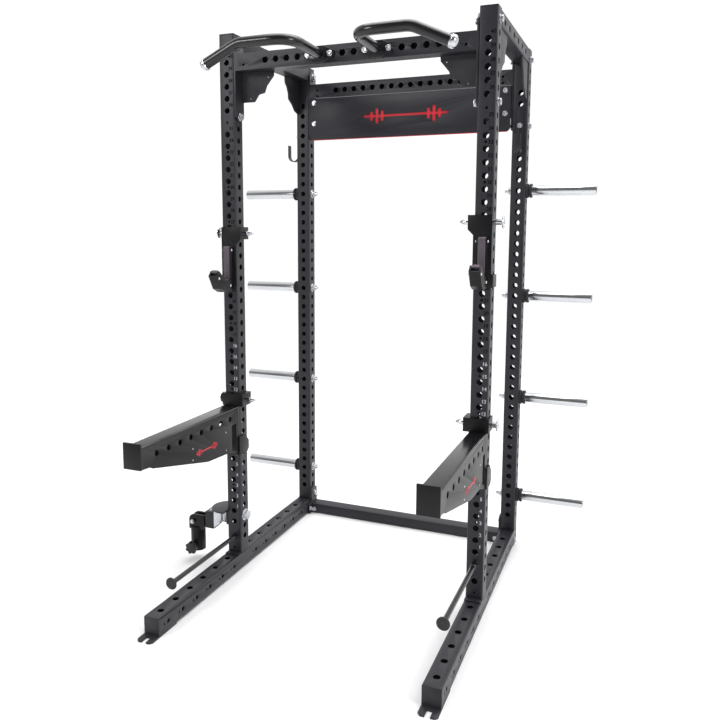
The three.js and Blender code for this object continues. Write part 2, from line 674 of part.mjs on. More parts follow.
const MOUNT_TOP = sideHole(0) + 24;
const MOUNT_LOW = MOUNT_TOP - 72;
const SWIVEL_X = -OUTER_X - 32.5;
const SWIVEL_PIN = 8;
const WEDGE_END = SWIVEL_X - 48;
const BLOCK_END = WEDGE_END - 46;
const TILT_X = BLOCK_END - 72;
const TILT_Z = MOUNT_LOW - 18;
const TONGUE_HALF = 13;
const CHEEK_HALF = 24;
const SLEEVE_X = TILT_X + 11;
const SLEEVE_TOP = TILT_Z - 27;
const SLEEVE_LOW = 47;
const KNOB_Z = SLEEVE_LOW + 25;

// An arc as outline points, from one angle to another in degrees.
function arc(u, v, radius, from, to, steps) {
  const points = [];
  for (let n = 0; n <= steps; n++) {
    const angle = ((from + ((to - from) * n) / steps) * Math.PI) / 180;
    points.push([u + radius * Math.cos(angle), v + radius * Math.sin(angle)]);
  }
  return points;
}

// A bracket with an upright pin between a half-round top plate and a narrow lower one.
function landmineMount() {
  const face = -OUTER_X - GAP;
  return join(
    box([face, -HALF, MOUNT_LOW], [face - PLATE, HALF, MOUNT_TOP]),
    plate("xy", [[face, -74], ...arc(face - 20, 0, 74, 270, 90, 12), [face, 74]],
      MOUNT_TOP - PLATE, MOUNT_TOP),
    plate("xy", [[face, -20], ...arc(SWIVEL_X, 0, 14, 270, 90, 6), [face, 20]],
      MOUNT_LOW, MOUNT_LOW + PLATE),
    bar("z", MOUNT_LOW + 1, MOUNT_TOP - 1, { x: SWIVEL_X, y: 0 }, SWIVEL_PIN),
  );
}

// A hub on the mount's pin with a wedge that grows outwards.
function landmineSwivel() {
  const low = MOUNT_LOW + PLATE + GAP;
  const high = MOUNT_TOP - PLATE - GAP;
  const wedge = plate("xz", [
    [SWIVEL_X - 8, high], [WEDGE_END, high - 14], [WEDGE_END, MOUNT_LOW - 31],
    [SWIVEL_X - 14.5, MOUNT_LOW - 7], [SWIVEL_X - 14.5, low], [SWIVEL_X - 8, low],
  ], -30, 30);
  const bore = (SWIVEL_PIN + 0.5) / Math.cos(Math.PI / 12);
  return cut(
    join(bar("z", low, high, { x: SWIVEL_X, y: 0 }, 22, 22, 16), wedge),
    bar("z", low - 1, high + 1, { x: SWIVEL_X, y: 0 }, bore),
  );
}

// The block bolted to the wedge, with a tongue for the sleeve and the tilt pin in it.
function landmineClevis() {
  const block = box([WEDGE_END - GAP, -30, TILT_Z - 19], [BLOCK_END, 30, TILT_Z + 61]);
  const tongue = plate("xz", [
    [BLOCK_END + 1, TILT_Z + 22], ...arc(TILT_X, TILT_Z, 22, 90, 270, 8), [BLOCK_END + 1, TILT_Z - 18],
  ], -TONGUE_HALF, TONGUE_HALF);
  return join(block, tongue,
    bar("y", -CHEEK_HALF - 8, CHEEK_HALF + 8, { x: TILT_X, z: TILT_Z }, 8));
}

// The sleeve hangs from the tilt pin by two cheeks, its mouth down.
function landmineSleeve() {
  const cheekOutline = [
    [BLOCK_END - 11, TILT_Z + 33], ...arc(TILT_X + 2, TILT_Z + 7, 26, 90, 180, 4),
    [TILT_X - 24, SLEEVE_TOP - 12], [BLOCK_END - 25, SLEEVE_TOP - 12], [BLOCK_END - 11, SLEEVE_TOP + 6],
  ];
  const cheeks = [-1, 1].map((edge) =>
    plate("xz", cheekOutline, edge * (TONGUE_HALF + 0.5), edge * CHEEK_HALF));
  const bore = 8.5 / Math.cos(Math.PI / 12);
  return cut(
    join(
      bar("z", SLEEVE_LOW, SLEEVE_TOP, { x: SLEEVE_X, y: 0 }, SLEEVE_D / 2, SLEEVE_D / 2, 20),
      bar("y", -SLEEVE_D / 2 - 10, -SLEEVE_BORE / 2 - 1, { x: SLEEVE_X, z: KNOB_Z }, 13),
      ...cheeks,
    ),
    bar("y", -CHEEK_HALF - 1, CHEEK_HALF + 1, { x: TILT_X, z: TILT_Z }, bore),
    bar("z", SLEEVE_LOW - 1, SLEEVE_TOP - 10, { x: SLEEVE_X, y: 0 }, SLEEVE_BORE / 2, SLEEVE_BORE / 2, 20),
    hole("y", -60, -SLEEVE_BORE / 2 + 4, { x: SLEEVE_X, z: KNOB_Z }, 13),
  );
}

// A seven-lobed knob whose screw clamps a bar in the sleeve.
function landmineKnob() {
  const face = -SLEEVE_D / 2 - 10 - GAP;
  const lobes = [];
  for (let n = 0; n < 28; n++) {
    const angle = (2 * Math.PI * n) / 28;
    const radius = 27 + 4 * Math.cos(7 * angle);
    lobes.push([SLEEVE_X + radius * Math.cos(angle), KNOB_Z + radius * Math.sin(angle)]);
  }
  return join(
    plate("xz", lobes, face - 7, face - 25),
    bar("y", face - 8, face, { x: SLEEVE_X, z: KNOB_Z }, 9),
    bar("y", face - 1, -SLEEVE_BORE / 2, { x: SLEEVE_X, z: KNOB_Z }, 5, 5, 8),
  );
}

add("landmine_mount", landmineMount(), paint);
add("landmine_swivel", landmineSwivel(), zinc);
add("landmine_clevis", landmineClevis(), plastic);
add("landmine_sleeve", landmineSleeve(), paint);
add("landmine_knob", landmineKnob(), plastic);

// ---------- whole cage, with the middle of its footprint at the origin ----------

const cageFront = -ARM_REACH;
const cageBack = BACK;
cage.position.y = -(cageFront + cageBack) / 2;

const root = new THREE.Group();
root.add(cage);
export default root;
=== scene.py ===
"""Power cage: finished surfaces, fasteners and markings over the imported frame."""

import json
import math

import bmesh
import bpy
from bpy.props import (
    FloatProperty,
    FloatVectorProperty,
    PointerProperty,
    StringProperty,
)
from mathutils import Euler, Matrix, Vector


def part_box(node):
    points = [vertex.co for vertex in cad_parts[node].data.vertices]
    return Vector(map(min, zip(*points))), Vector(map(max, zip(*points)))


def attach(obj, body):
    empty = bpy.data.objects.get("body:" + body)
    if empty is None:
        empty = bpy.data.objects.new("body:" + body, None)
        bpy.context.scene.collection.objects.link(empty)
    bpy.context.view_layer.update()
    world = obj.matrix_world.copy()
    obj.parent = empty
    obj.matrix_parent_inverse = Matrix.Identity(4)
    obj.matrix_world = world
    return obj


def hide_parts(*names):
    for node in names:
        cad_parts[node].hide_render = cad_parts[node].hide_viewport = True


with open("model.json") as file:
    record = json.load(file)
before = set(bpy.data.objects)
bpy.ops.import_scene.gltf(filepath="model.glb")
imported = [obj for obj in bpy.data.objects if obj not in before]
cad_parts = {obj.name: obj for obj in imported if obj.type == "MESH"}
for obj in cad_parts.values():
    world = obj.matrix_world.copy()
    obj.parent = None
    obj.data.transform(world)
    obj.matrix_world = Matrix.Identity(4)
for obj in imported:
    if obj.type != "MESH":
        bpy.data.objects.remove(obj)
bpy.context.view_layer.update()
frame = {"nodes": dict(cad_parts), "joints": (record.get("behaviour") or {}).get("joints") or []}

bl_info = {
    "name": "Power Cage",
    "version": (1, 0, 0),
    "blender": (4, 5, 0),
    "location": "3D View > Sidebar > Power Cage",
    "description": "Finishes a four-post squat rack over its packed frame",
    "category": "Add Mesh",
}

SIDES = (("left", -1), ("right", 1))
ENDS = ("front", "rear")
X, Y, Z = 0, 1, 2
TURN = {X: (0, math.pi / 2, 0), Y: (math.pi / 2, 0, 0), Z: (0, 0, 0)}
MM = 0.001

HALF_TUBE = 35 * MM
OVERRUN = 20 * MM           # how much longer a cutter is than what it cuts
BASE_PITCH = 100 * MM       # from hole to hole along a base beam's side
BASE_HOLES = 6              # before a front post, and as many behind it
WEB_HOLE_DROP = 101 * MM    # from the front crossmember's top to its small holes' level
FIRST_HOLE = 78 * MM        # from the base beam's top to a post's lowest side hole
HOLE_ONE = 125 * MM         # from there to the front hole above number one
SIDE_HOLES, REAR_HOLES = 44, 42
FRONT_HOLES, TOP_HOLES = 35, 5
SMALL_HOLES = 11            # one in every three pitches of a front face
FLANGE = 8 * MM             # thickness of the end flanges
HANDLE_OUT = 125            # from the cage's middle to a handle's flange, in mm
HANDLE_DROP = 33 * MM       # from a handle's top to the middle of its flange
HANDLE_REACH = 300 * MM     # from the front posts to the grip's line
HOOK_BOLT_DROP = 82 * MM    # from a hook's top to its bolt
MOTIF_REACH = 300 * MM      # from the front posts to the motif on an arm


def srgb(code):
    """A #rrggbb colour as linear red, green and blue."""
    values = [int(code[n:n + 2], 16) / 255 for n in (1, 3, 5)]
    return [v / 12.92 if v <= 0.04045 else ((v + 0.055) / 1.055) ** 2.4 for v in values]


def colour_setting(name, description, code):
    """A colour setting."""
    return FloatVectorProperty(name=name, description=description, subtype="COLOR",
                               size=3, min=0, max=1, default=srgb(code))


def length_setting(name, description, usual, least):
    """A length setting, from its default and its least value in millimetres."""
    return FloatProperty(name=name, description=description,
                         default=usual * MM, min=least * MM, unit="LENGTH")


# ---------- settings ----------


class PowerCageFinish(bpy.types.PropertyGroup):
    """Colours and grain of the finishes"""

    powder: colour_setting("Powder coat", "Charcoal of the frame", "#232329")
    gloss: colour_setting("Gloss black", "Arms, cups and handles", "#101013")
    powder_grain: length_setting("Powder grain", "Size of the powder coat's grain", 1.4, 0.2)
    red: colour_setting("Red", "Backing and motifs", "#c81f2e")
    chrome: colour_setting("Chrome", "Pins, pegs and handle caps", "#c9cbce")
    zinc: colour_setting("Zinc", "Bolts, nuts and the landmine's swivel", "#c6c8cc")
    plastic: colour_setting("Plastic", "Caps, pads and knob", "#0f0f11")
    liner: colour_setting("Liner", "Cup liners", "#544a54")


class PowerCageSizes(bpy.types.PropertyGroup):
    """Sizes of the details"""

    wall: length_setting("Tube wall", "Wall of the square tube", 3, 1)
    corner: length_setting("Tube corner", "Outer radius of the tube's corners", 5, 1)
    edge: length_setting("Plate edge", "Rounding of cut plate edges", 0.9, 0)
    hole: length_setting("Hole", "Diameter of the numbered holes", 25, 5)
    small_hole: length_setting("Small hole", "Diameter of the holes between them", 11, 2)
    pitch: length_setting("Pitch", "Distance from hole to hole", 50, 20)
    digit: length_setting("Digits", "Height of the hole numbers", 15, 2)
    bolt: length_setting("Bolt head", "Across the flats of the large bolts", 24, 5)
    screw: length_setting("Screw head", "Diameter of the small screws", 13, 3)


class PowerCageStage(bpy.types.PropertyGroup):
    """Camera, floor and lights"""

    lens: FloatProperty(
        name="Lens", description="Focal length", default=36.84, min=10, unit="CAMERA")
    azimuth: FloatProperty(
        name="Azimuth", description="Turn of the view to the left",
        default=math.radians(22.4), subtype="ANGLE")
    dip: FloatProperty(
        name="Dip", description="Tilt of the view downwards",
        default=math.radians(7.33), subtype="ANGLE")
    roll: FloatProperty(
        name="Roll", description="Lean of the view to one side",
        default=math.radians(0.14), subtype="ANGLE")
    shift_x: FloatProperty(
        name="Shift sideways", description="Sideways shift of the lens", default=0.0193)
    shift_y: FloatProperty(
        name="Shift up", description="Upward shift of the lens", default=-0.0565)
    place: FloatVectorProperty(
        name="Camera place", description="Where the camera stands",
        default=(1.1598, -2.882, 1.5942), subtype="TRANSLATION")
    floor: colour_setting("Floor", "Floor colour", "#f1f1f2")
    surround: FloatProperty(
        name="Surround", description="Brightness of the white wall behind",
        default=1.05, min=0)
    dim: FloatProperty(
        name="Dim", description="Brightness of the room in front", default=0.22, min=0)
    sun: FloatProperty(
        name="Sun", description="Strength of the soft light from behind", default=1.3, min=0)
    key: FloatProperty(
        name="Key light", description="Power of the key light", default=60, min=0, unit="POWER")


# ---------- modelling helpers ----------


def settle():
    """Leaves edit mode and selects nothing."""
    if bpy.context.mode != "OBJECT":
        bpy.ops.object.mode_set(mode="OBJECT")
    bpy.ops.object.select_all(action="DESELECT")


def hold(*pieces):
    """Selects only these pieces and makes the first one active."""
    settle()
    for piece in pieces:
        piece.select_set(True)
    bpy.context.view_layer.objects.active = pieces[0]
    return pieces[0]


def choose(piece, kind, test):
    """Opens a piece for editing with only the faces or edges that pass the test selected."""
    hold(piece)
    bpy.ops.object.mode_set(mode="EDIT")
    bpy.ops.mesh.select_mode(type=kind)
    bpy.ops.mesh.select_all(action="DESELECT")
    shape = bmesh.from_edit_mesh(piece.data)
    for part in shape.faces if kind == "FACE" else shape.edges:
        part.select_set(bool(test(part)))
    bmesh.update_edit_mesh(piece.data)


def fix_place(piece):
    """Moves a piece's place into its mesh."""
    hold(piece)
    bpy.ops.object.transform_apply(location=True, rotation=True, scale=True)
    return piece


def modify(piece, kind, **values):
    """Adds a modifier and applies it."""
    hold(piece)
    bpy.ops.object.modifier_add(type=kind)
    modifier = piece.modifiers[-1]
    for key, value in values.items():
        setattr(modifier, key, value)
    bpy.ops.object.modifier_apply(modifier=modifier.name)
    return piece


def block(name, low, high):
    """A box between two corners."""
    settle()
    low, high = Vector(low), Vector(high)
    bpy.ops.mesh.primitive_cube_add(size=1, location=(low + high) / 2, scale=high - low)
    piece = bpy.context.object
    piece.name = name
    return fix_place(piece)


def along(edge, axis):
    """True if an edge runs along an axis."""
    line = (edge.verts[1].co - edge.verts[0].co).normalized()
    return abs(line[axis]) > 0.999


def round_edges(piece, width, segments=2, angle=30):
    """Rounds every sharp edge."""
    return modify(piece, "BEVEL", width=width, segments=segments, limit_method="ANGLE",
                  angle_limit=math.radians(angle), harden_normals=False)


def square_tube(name, low, high, axis):
    """An open square tube with rounded corners."""
    sizes = bpy.context.scene.cage_sizes
    piece = block(name, low, high)
    choose(piece, "FACE", lambda face: abs(face.normal[axis]) > 0.9)
    bpy.ops.mesh.delete(type="FACE")
    choose(piece, "EDGE", lambda edge: along(edge, axis))
    bpy.ops.mesh.bevel(offset=sizes.corner, segments=4, affect="EDGES")
    settle()
    return modify(piece, "SOLIDIFY", thickness=sizes.wall, offset=-1)


def rod(centre, axis, length, diameter, sides=28):
    """A plain round bar, for cutting."""
    settle()
    bpy.ops.mesh.primitive_cylinder_add(
        vertices=sides, radius=diameter / 2, depth=length, location=centre, rotation=TURN[axis])
    return fix_place(bpy.context.object)


def hole_row(centre, axis, length, diameter, step, count):
    """A row of round bars, for cutting."""
    row = rod(centre, axis, length, diameter)
    return modify(row, "ARRAY", count=count, use_relative_offset=False,
                  use_constant_offset=True, constant_offset_displace=step)


def cut(piece, cutters):
    """Takes the cutters out of a piece."""
    tool = hold(*cutters)
    if len(cutters) > 1:
        bpy.ops.object.join()
    modify(piece, "BOOLEAN", object=tool, operation="DIFFERENCE", solver="EXACT")
    bpy.data.objects.remove(tool)
    return piece


def weld(name, *pieces):
    """Makes several pieces one."""
    whole = hold(*pieces)
    if len(pieces) > 1:
        bpy.ops.object.join()
    whole.name = name
    return whole


def turned(name, profile, axis, origin, steps=40):
    """A lathed piece from (distance, radius) pairs along an axis."""
    across = (axis + 2) % 3
    points = []
    for distance, radius in profile:
        point = Vector(origin)
        point[axis] += distance
        point[across] += radius
        points.append(point)
    mesh = bpy.data.meshes.new(name)
    mesh.from_pydata(points, [(n, n + 1) for n in range(len(points) - 1)], [])
    piece = bpy.data.objects.new(name, mesh)
    bpy.context.scene.collection.objects.link(piece)
    choose(piece, "EDGE", lambda edge: True)
    spindle = [0, 0, 0]
    spindle[axis] = 1
    bpy.ops.mesh.spin(steps=steps, angle=2 * math.pi, center=origin, axis=spindle)
    bpy.ops.mesh.select_all(action="SELECT")
    bpy.ops.mesh.remove_doubles(threshold=0.01 * MM)
    bpy.ops.mesh.normals_make_consistent(inside=False)
    settle()
    return piece


def from_frame(node, name):
    """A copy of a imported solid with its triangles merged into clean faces."""
    piece = bpy.data.objects.new(name, frame["nodes"][node].data.copy())
    bpy.context.scene.collection.objects.link(piece)
    piece.data.materials.clear()
    hold(piece)
    bpy.ops.object.mode_set(mode="EDIT")
    bpy.ops.mesh.select_all(action="SELECT")
    bpy.ops.mesh.remove_doubles(threshold=0.01 * MM)
    bpy.ops.mesh.dissolve_limited(angle_limit=math.radians(0.5))
    settle()
    return piece


def copied(template, name, matrix):
    """A copy with its own mesh, moved by a matrix."""
    piece = template.copy()
    piece.data = template.data.copy()
    piece.name = name
    bpy.context.scene.collection.objects.link(piece)
    piece.data.transform(matrix)
    return piece


def facing(at, direction):
    """The matrix that stands a +Z piece at a place, facing a direction."""
    turn = Vector(direction).to_track_quat("Z", "Y").to_matrix().to_4x4()
    return Matrix.Translation(Vector(at)) @ turn


def finish(piece, body, slot, material, *nodes, smooth=30):
    """Shades a piece, gives it its finish and ties it to its body."""
    hold(piece)
    bpy.ops.object.shade_smooth_by_angle(angle=math.radians(smooth))
    piece.data.materials.clear()
    piece.data.materials.append(material)
    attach(piece, body)
    if nodes:
        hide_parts(*nodes)
    return piece


def middle(node):
    """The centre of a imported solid's box."""
    low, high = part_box(node)
    return (low + high) / 2


# ---------- finishes ----------


def add_node(tree, kind, settings=None, links=None):
    """Adds a node with its settings, and links its inputs to other nodes' outputs."""
    node = tree.nodes.new(f"ShaderNode{kind}")
    for key, value in (settings or {}).items():
        node.inputs[key].default_value = value
    for key, source in (links or {}).items():
        tree.links.new(source, node.inputs[key])
    return node


def tint(colour, factor):
    """A colour made darker or lighter."""
    return [min(1, channel * factor) for channel in colour]


def coat(name, colour, tones, gloss, relief, cloud, grain=None, gloss_of="grain", **shader):
    """A material: the colour follows the cloud, the relief follows the grain, the gloss either.

    A pattern is (kind, size of its features, settings) and a stretch where it has one. Tones are
    factors on the colour, gloss is the range of roughness, and relief is the bumps' height and
    strength.
    """
    material = bpy.data.materials.get(name)
    if material:
        return material
    material = bpy.data.materials.new(name)
    material.use_nodes = True
    tree = material.node_tree
    place = add_node(tree, "TexCoord").outputs["Object"]
    patterns = {}
    for key, pattern in (("cloud", cloud), ("grain", grain or cloud)):
        kind, size, settings, *stretch = pattern
        spot = place
        if stretch:
            spot = add_node(tree, "Mapping", {"Scale": stretch[0]}, {"Vector": place}).outputs[0]
        settings = {"Scale": 1 / size, **settings}
        patterns[key] = add_node(tree, kind, settings, {"Vector": spot}).outputs[0]

    ramp = add_node(tree, "ValToRGB", links={"Fac": patterns["cloud"]})
    for stop, position, factor in zip(ramp.color_ramp.elements, (0.3, 0.7), tones):
        stop.position = position
        stop.color = (*tint(colour, factor), 1)
    rough = add_node(tree, "MapRange", {"To Min": gloss[0], "To Max": gloss[1]},
                     {"Value": patterns[gloss_of]})
    bump = add_node(tree, "Bump", {"Distance": relief[0], "Strength": relief[1]},
                    {"Height": patterns["grain"]})
    skin = tree.nodes["Principled BSDF"]
    tree.links.new(ramp.outputs["Color"], skin.inputs["Base Color"])
    tree.links.new(rough.outputs["Result"], skin.inputs["Roughness"])
    tree.links.new(bump.outputs["Normal"], skin.inputs["Normal"])
    for key, value in shader.items():
        skin.inputs[key.replace("_", " ")].default_value = value
    return material


def look():
    """The user's colours and grain."""
    return bpy.context.scene.cage_finish


def powder_coat():
    # Polyester powder, sprayed dry and baked: a pebbled charcoal skin that blurs what it reflects.
    # The real pebble is about 0.4 mm; the grain is drawn coarser, so that it shows.
    return coat("charcoal_powder_coat", look().powder, (0.86, 1.16), (0.34, 0.56),
                (0.35 * MM, 0.55),
                ("TexNoise", 350 * MM, {"Detail": 4}),
                ("TexNoise", look().powder_grain, {"Detail": 3, "Roughness": 0.6}),
                Metallic=0.2, IOR=1.5, Specular_IOR_Level=0.42,
                Coat_Weight=0.1, Coat_Roughness=0.35)


def gloss_black():
    # Stoved gloss enamel on bent tube: deep black with sharp highlights that a slow orange peel
    # of about 5 mm breaks up.
    return coat("gloss_black_enamel", look().gloss, (0.8, 1.3), (0.16, 0.3), (0.12 * MM, 0.3),
                ("TexNoise", 150 * MM, {"Detail": 4}),
                ("TexNoise", 5 * MM, {"Detail": 2, "Roughness": 0.4}), "cloud",
                IOR=1.5, Specular_IOR_Level=0.36, Coat_Weight=0.2, Coat_Roughness=0.12)


def satin_black():
    # Satin powder on laser-cut plate: black with a soft sheen and no sharp reflection.
    # The real grain is about 0.5 mm; it is drawn at 2 mm, so that it shows.
    return coat("satin_black_powder", look().gloss, (0.6, 1.1), (0.3, 0.46), (0.15 * MM, 0.4),
                ("TexNoise", 180 * MM, {"Detail": 4}),
                ("TexNoise", 2 * MM, {"Detail": 3, "Roughness": 0.5}),
                IOR=1.5, Specular_IOR_Level=0.26)


def red_coat():
    # The same powder in signal red, on the backing and the raised motifs: even, slightly pebbled.
    return coat("red_powder_coat", look().red, (0.9, 1.1), (0.38, 0.52), (0.3 * MM, 0.4),
                ("TexNoise", 200 * MM, {"Detail": 2}),
                ("TexNoise", look().powder_grain, {"Detail": 3}))


def chrome_plate():
    # Chromium plated on polished steel: a mirror with a faint haze and lines left by polishing.
    # The real lines are finer than 0.1 mm; they are drawn at 1.2 mm, so that they show.
    return coat("bright_chrome", look().chrome, (0.93, 1), (0.07, 0.17), (0.05 * MM, 0.2),
                ("TexNoise", 60 * MM, {"Detail": 5}),
                ("TexNoise", 1.2 * MM, {"Detail": 2}, (0.08, 1, 1)), "cloud",
                Metallic=1.0)


def zinc_plate():
    # Zinc electroplated on forged heads and nuts: pale, milky metal with soft, uneven reflections.
    return coat("zinc_plate", look().zinc, (0.88, 1.08), (0.22, 0.42), (0.1 * MM, 0.3),
                ("TexVoronoi", 4 * MM, {}), ("TexNoise", 0.8 * MM, {"Detail": 3}), Metallic=0.9)


def black_plastic():
    # Polypropylene moulded in a spark-eroded tool: black with a fine dull texture.
    # The real texture is about 0.3 mm; its cells are drawn at 0.9 mm, so that they show.
    return coat("moulded_black_plastic", look().plastic, (0.85, 1.3), (0.3, 0.45), (0.12 * MM, 0.3),
                ("TexNoise", 50 * MM, {"Detail": 3}),
                ("TexVoronoi", 0.9 * MM, {}), "cloud", IOR=1.48)


def gloss_pad():
    # Polyethylene strip, extruded and cut: shiny black with faint lines along its length.
    return coat("gloss_black_pad", look().plastic, (1, 1.6), (0.14, 0.28), (0.08 * MM, 0.25),
                ("TexNoise", 120 * MM, {"Detail": 3}),
                ("TexNoise", 3 * MM, {"Detail": 2}, (1, 0.03, 1)), IOR=1.52)


def black_rubber():
    # Moulded nitrile rubber: dead black with a dusty grain of 1 mm and hardly any highlight.
    return coat("black_rubber", look().plastic, (0.8, 1.2), (0.55, 0.75), (0.15 * MM, 0.4),
                ("TexNoise", 1 * MM, {"Detail": 4}))


def cup_liner():
    # Polyethylene sheet, sawn into strips: warm grey, waxy, with saw lines running up it.
    return coat("grey_liner_plastic", look().liner, (0.9, 1.1), (0.38, 0.55), (0.1 * MM, 0.3),
                ("TexNoise", 30 * MM, {"Detail": 3}),
                ("TexNoise", 2.2 * MM, {"Detail": 2}, (1, 1, 0.08)),
                Subsurface_Weight=0.05)


def dark_cut():
    # Laser-marked digits, dull and darker than the coat: the dark colour is painted shade, for the
    # upper digits that no floor light reaches.
    return coat("dark_cut_marking", look().plastic, (0.35, 0.6), (0.7, 0.85), (0.05 * MM, 0.2),
                ("TexNoise", 0.8 * MM, {"Detail": 2}), Specular_IOR_Level=0.08)


def pale_cut():
    # Laser-marked digits, pale and half dull: the pale colour is painted floor light, for the lower
    # digits that the floor lights.
    return coat("pale_cut_marking", look().zinc, (0.6, 1), (0.4, 0.6), (0.05 * MM, 0.2),
                ("TexNoise", 0.8 * MM, {"Detail": 2}), Metallic=0.3)


# ---------- fasteners ----------


def hex_bolt():
    """A hex head on a washer, standing on Z = 0."""
    flat = bpy.context.scene.cage_sizes.bolt
    head = rod((0, 0, 0.22 * flat + 2.5 * MM), Z, 0.44 * flat,
               flat / math.cos(math.pi / 6), sides=6)
    choose(head, "FACE", lambda face: face.normal.z > 0.9)
    bpy.ops.mesh.inset(thickness=0.09 * flat, depth=0)
    bpy.ops.mesh.inset(thickness=0.1 * flat, depth=0)
    bpy.ops.transform.translate(value=(0, 0, -0.03 * flat))
    settle()
    round_edges(head, 0.03 * flat, 2)
    washer = turned("washer", [
        (0, 0), (0, 0.66 * flat), (0.4 * MM, 0.69 * flat), (2.1 * MM, 0.69 * flat),
        (2.6 * MM, 0.66 * flat), (2.6 * MM, 0)], Z, (0, 0, 0), 32)
    return weld("hex_bolt", head, washer)


def dome_screw():
    """A domed screw with a six-sided socket, standing on Z = 0."""
    width = bpy.context.scene.cage_sizes.screw
    head = turned("dome_screw", [
        (0, 0), (0, 0.5 * width), (0.08 * width, 0.5 * width), (0.2 * width, 0.44 * width),
        (0.3 * width, 0.33 * width), (0.34 * width, 0.2 * width), (0.34 * width, 0),
    ], Z, (0, 0, 0), 24)
    return cut(head, [rod((0, 0, 0.34 * width), Z, 0.3 * width, 0.32 * width, sides=6)])


def bolt_group(template, name, body, places, scale):
    """Zinc copies of a fastener at (place, direction) pairs, made one piece."""
    template = bpy.context.scene.objects[template]
    copies = [copied(template, f"{name}_{n}", facing(at, way) @ Matrix.Scale(scale, 4))
              for n, (at, way) in enumerate(places)]
    return finish(weld(name, *copies), body, "zinc", zinc_plate())


# ---------- pieces ----------


class CAGE_OT_stage(bpy.types.Operator):
    """Adds the camera, the pale floor and the studio lights"""

    bl_idname = "cage.stage"
    bl_label = "Stage"

    def execute(self, context):
        stage = context.scene.cage_stage
        settle()
        bpy.ops.object.camera_add()
        camera = context.object
        camera.name = "camera"
        turn = Euler((math.pi / 2 - stage.dip, 0, stage.azimuth)).to_matrix().to_4x4()
        roll = Matrix.Rotation(stage.roll, 4, "Z")
        camera.matrix_world = Matrix.Translation(stage.place) @ turn @ roll
        camera.data.lens = stage.lens
        camera.data.sensor_width = 36
        camera.data.shift_x = stage.shift_x
        camera.data.shift_y = stage.shift_y
        camera.data.clip_end = 100
        context.scene.camera = camera

        settle()
        bpy.ops.mesh.primitive_plane_add(size=60)
        floor = context.object
        floor.name = "floor"
        # Rolled studio vinyl: nearly white and matt, with a very slow mottle.
        floor.data.materials.append(coat(
            "pale_floor", stage.floor, (0.985, 1), (0.55, 0.65), (0.1 * MM, 0.1),
            ("TexNoise", 600 * MM, {"Detail": 2})))

        for name, place, size, power in (
            ("key", (-2.4, -3.6, 3.4), 1.2, stage.key),
            ("fill", (3.6, -1.4, 2.6), 1.0, 0.8 * stage.key),
            ("top", (0, 0.2, 4.8), 3.0, 1.6 * stage.key),
        ):
            settle()
            bpy.ops.object.light_add(type="AREA", location=place)
            light = context.object
            light.name = f"{name}_light"
            light.data.size = size
            light.data.energy = power
            aim = Vector((0, 0.2, 1.1)) - Vector(place)
            light.rotation_euler = aim.to_track_quat("-Z", "Y").to_euler()

        settle()
        bpy.ops.object.light_add(type="SUN", location=(2, 3, 5))
        sun = context.object
        sun.name = "soft_sun"
        sun.data.energy = stage.sun
        sun.data.angle = math.radians(50)
        sun.rotation_euler = Vector((-0.45, -0.5, -1)).to_track_quat("-Z", "Y").to_euler()

        world = bpy.data.worlds.new("studio")
        world.use_nodes = True
        tree = world.node_tree
        sky = tree.nodes["Background"]
        sky.inputs["Color"].default_value = (1, 1, 1, 1)
        view = add_node(tree, "TexCoord").outputs["Generated"]
        heading = add_node(tree, "SeparateXYZ", links={"Vector": view})
        wall = add_node(
            tree, "MapRange",
            {"From Min": -0.75, "From Max": 0.1, "To Min": stage.dim, "To Max": stage.surround},
            {"Value": heading.outputs["Y"]})
        wall.interpolation_type = "SMOOTHSTEP"
        tree.links.new(wall.outputs["Result"], sky.inputs["Strength"])
        context.scene.world = world
        context.scene.view_settings.view_transform = "Standard"
        return {"FINISHED"}


